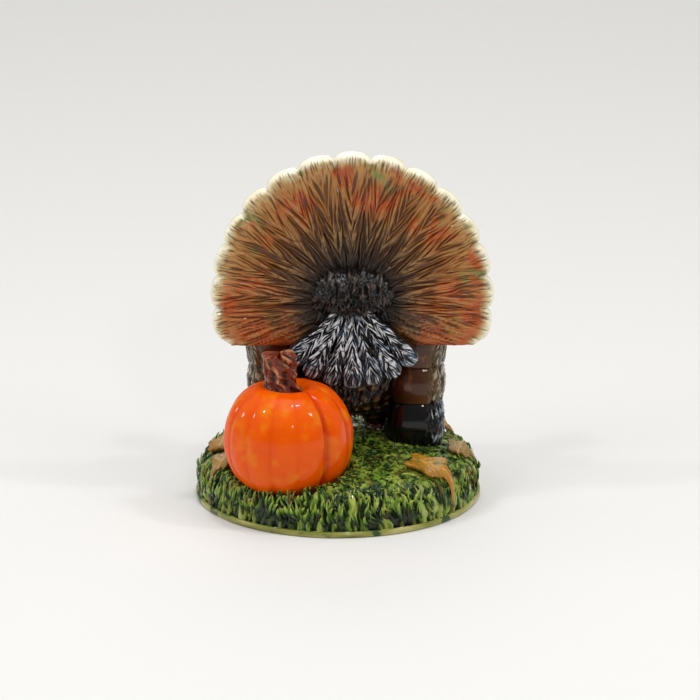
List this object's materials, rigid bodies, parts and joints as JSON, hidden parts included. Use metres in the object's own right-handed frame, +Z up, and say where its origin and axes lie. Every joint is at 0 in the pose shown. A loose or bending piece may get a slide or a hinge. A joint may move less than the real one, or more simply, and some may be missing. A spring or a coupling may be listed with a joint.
{
  "type": "turkey figurine",
  "caption": "Small painted resin harvest figurine: a strutting turkey with a raised fan tail on an oval grass mound, with fallen leaves and a ribbed pumpkin.",
  "frame": {"origin": "middle of the oval base's flat underside", "axes": "+Z up from the underside; +Y the way the bird faces, away from the open face of its tail fan; +X to the right seen from behind the bird"},
  "size_m": [0.0506, 0.052, 0.0612],
  "materials": {
    "footing_rim": "yellow-green painted resin under clear gloss varnish",
    "grass": "green painted resin, darker in the hollows, yellow-green dry-brushed tips, clear gloss varnish",
    "pumpkin_skin": "orange painted resin with redder grooves, clear gloss varnish",
    "stem": "red-brown painted resin with a gnarled surface, gloss",
    "leaf": "ochre and tan painted resin leaf with darker veins, gloss",
    "body_feathers": "brown painted resin carved with layered feathers, gloss",
    "dark_rump": "near-black painted resin carved with short feathers, gloss",
    "tail_fan": "brown painted resin feathers with gold dry-brushed barbs, rust band and cream tips, gloss",
    "silver_coverts": "black painted resin feathers with silver and blue-grey dry-brushed barbs, gloss",
    "wing_feathers": "rust-brown painted resin wing feathers, gloss",
    "wing_stripes": "black painted resin flight feathers with off-white bars, gloss",
    "leg_skin": "dull red-brown painted resin, gloss",
    "head_skin": "red and grey-blue painted resin skin, gloss",
    "red_wattle": "bright red painted resin, gloss",
    "beak_horn": "ochre painted resin, gloss",
    "eye_black": "black gloss paint",
    "tuft_black": "black painted resin tuft, gloss"
  },
  "bodies": {
    "root": {"footing": "footing_rim", "grass_mound": "grass", "pumpkin": "pumpkin_skin", "pumpkin_stem": "stem", "leaf_right": "leaf", "leaf_right_edge": "leaf", "leaf_right_back": "leaf", "leaf_left": "leaf", "leaf_left_back": "leaf", "body": "body_feathers", "tail_hub": "dark_rump", "rump_dome": "dark_rump", "tail_feather_1": "tail_fan", "tail_feather_2": "tail_fan", "tail_feather_3": "tail_fan", "tail_feather_4": "tail_fan", "tail_feather_5": "tail_fan", "tail_feather_6": "tail_fan", "tail_feather_7": "tail_fan", "tail_feather_8": "tail_fan", "tail_feather_9": "tail_fan", "tail_feather_10": "tail_fan", "tail_feather_11": "tail_fan", "tail_feather_12": "tail_fan", "tail_feather_13": "tail_fan", "tail_feather_14": "tail_fan", "tail_feather_15": "tail_fan", "covert_feather_1": "silver_coverts", "covert_feather_2": "silver_coverts", "covert_feather_3": "silver_coverts", "covert_feather_4": "silver_coverts", "covert_feather_5": "silver_coverts", "covert_feather_6": "silver_coverts", "covert_feather_7": "silver_coverts", "wing_coverts_left": "wing_feathers", "wing_coverts_right": "wing_feathers", "wing_secondaries_left": "wing_feathers", "wing_secondaries_right": "wing_feathers", "wing_primaries_left": "wing_stripes", "wing_primaries_right": "wing_stripes", "thigh_left": "body_feathers", "thigh_right": "body_feathers", "shank_left": "leg_skin", "shank_right": "leg_skin", "foot_left": "leg_skin", "foot_right": "leg_skin", "neck": "head_skin", "head": "head_skin", "beak": "beak_horn", "snood": "red_wattle", "wattle": "red_wattle", "eye_left": "eye_black", "eye_right": "eye_black", "breast_tuft": "tuft_black"}
  },
  "joints": []
}
